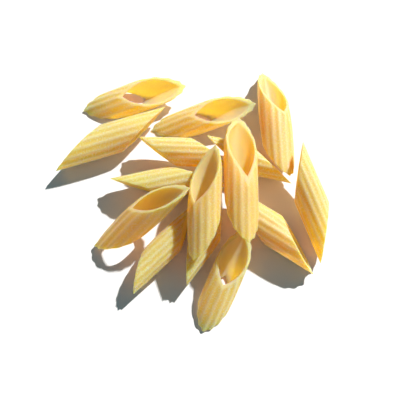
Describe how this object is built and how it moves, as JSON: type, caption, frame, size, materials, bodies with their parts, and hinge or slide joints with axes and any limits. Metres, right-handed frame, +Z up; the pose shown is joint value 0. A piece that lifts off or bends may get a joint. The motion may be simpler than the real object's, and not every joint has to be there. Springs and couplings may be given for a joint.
{
  "type": "heap of dry penne pasta",
  "caption": "Small loose heap of dry ridged penne: short ribbed tubes of pasta with slanted cut ends, lying on and against each other.",
  "frame": {"origin": "on the surface the heap lies on, under the middle of its bounding box", "axes": "+Z up, +Y away from the picture's camera, +X to the right in the picture"},
  "size_m": [0.0934, 0.0944, 0.0214],
  "materials": {
    "dry_pasta": "matt dry durum pasta, pale and floury on the ridges, amber where light comes through"
  },
  "bodies": {
    "root": {"penne_back_left": "dry_pasta", "penne_back_middle": "dry_pasta", "penne_back_right": "dry_pasta", "penne_left": "dry_pasta", "penne_left_inner": "dry_pasta", "penne_left_low": "dry_pasta", "penne_behind_top": "dry_pasta", "penne_under_middle": "dry_pasta", "penne_front_left": "dry_pasta", "penne_front": "dry_pasta", "penne_front_right": "dry_pasta", "penne_right": "dry_pasta", "penne_leaning": "dry_pasta", "penne_top_left": "dry_pasta", "penne_top": "dry_pasta"}
  },
  "joints": []
}
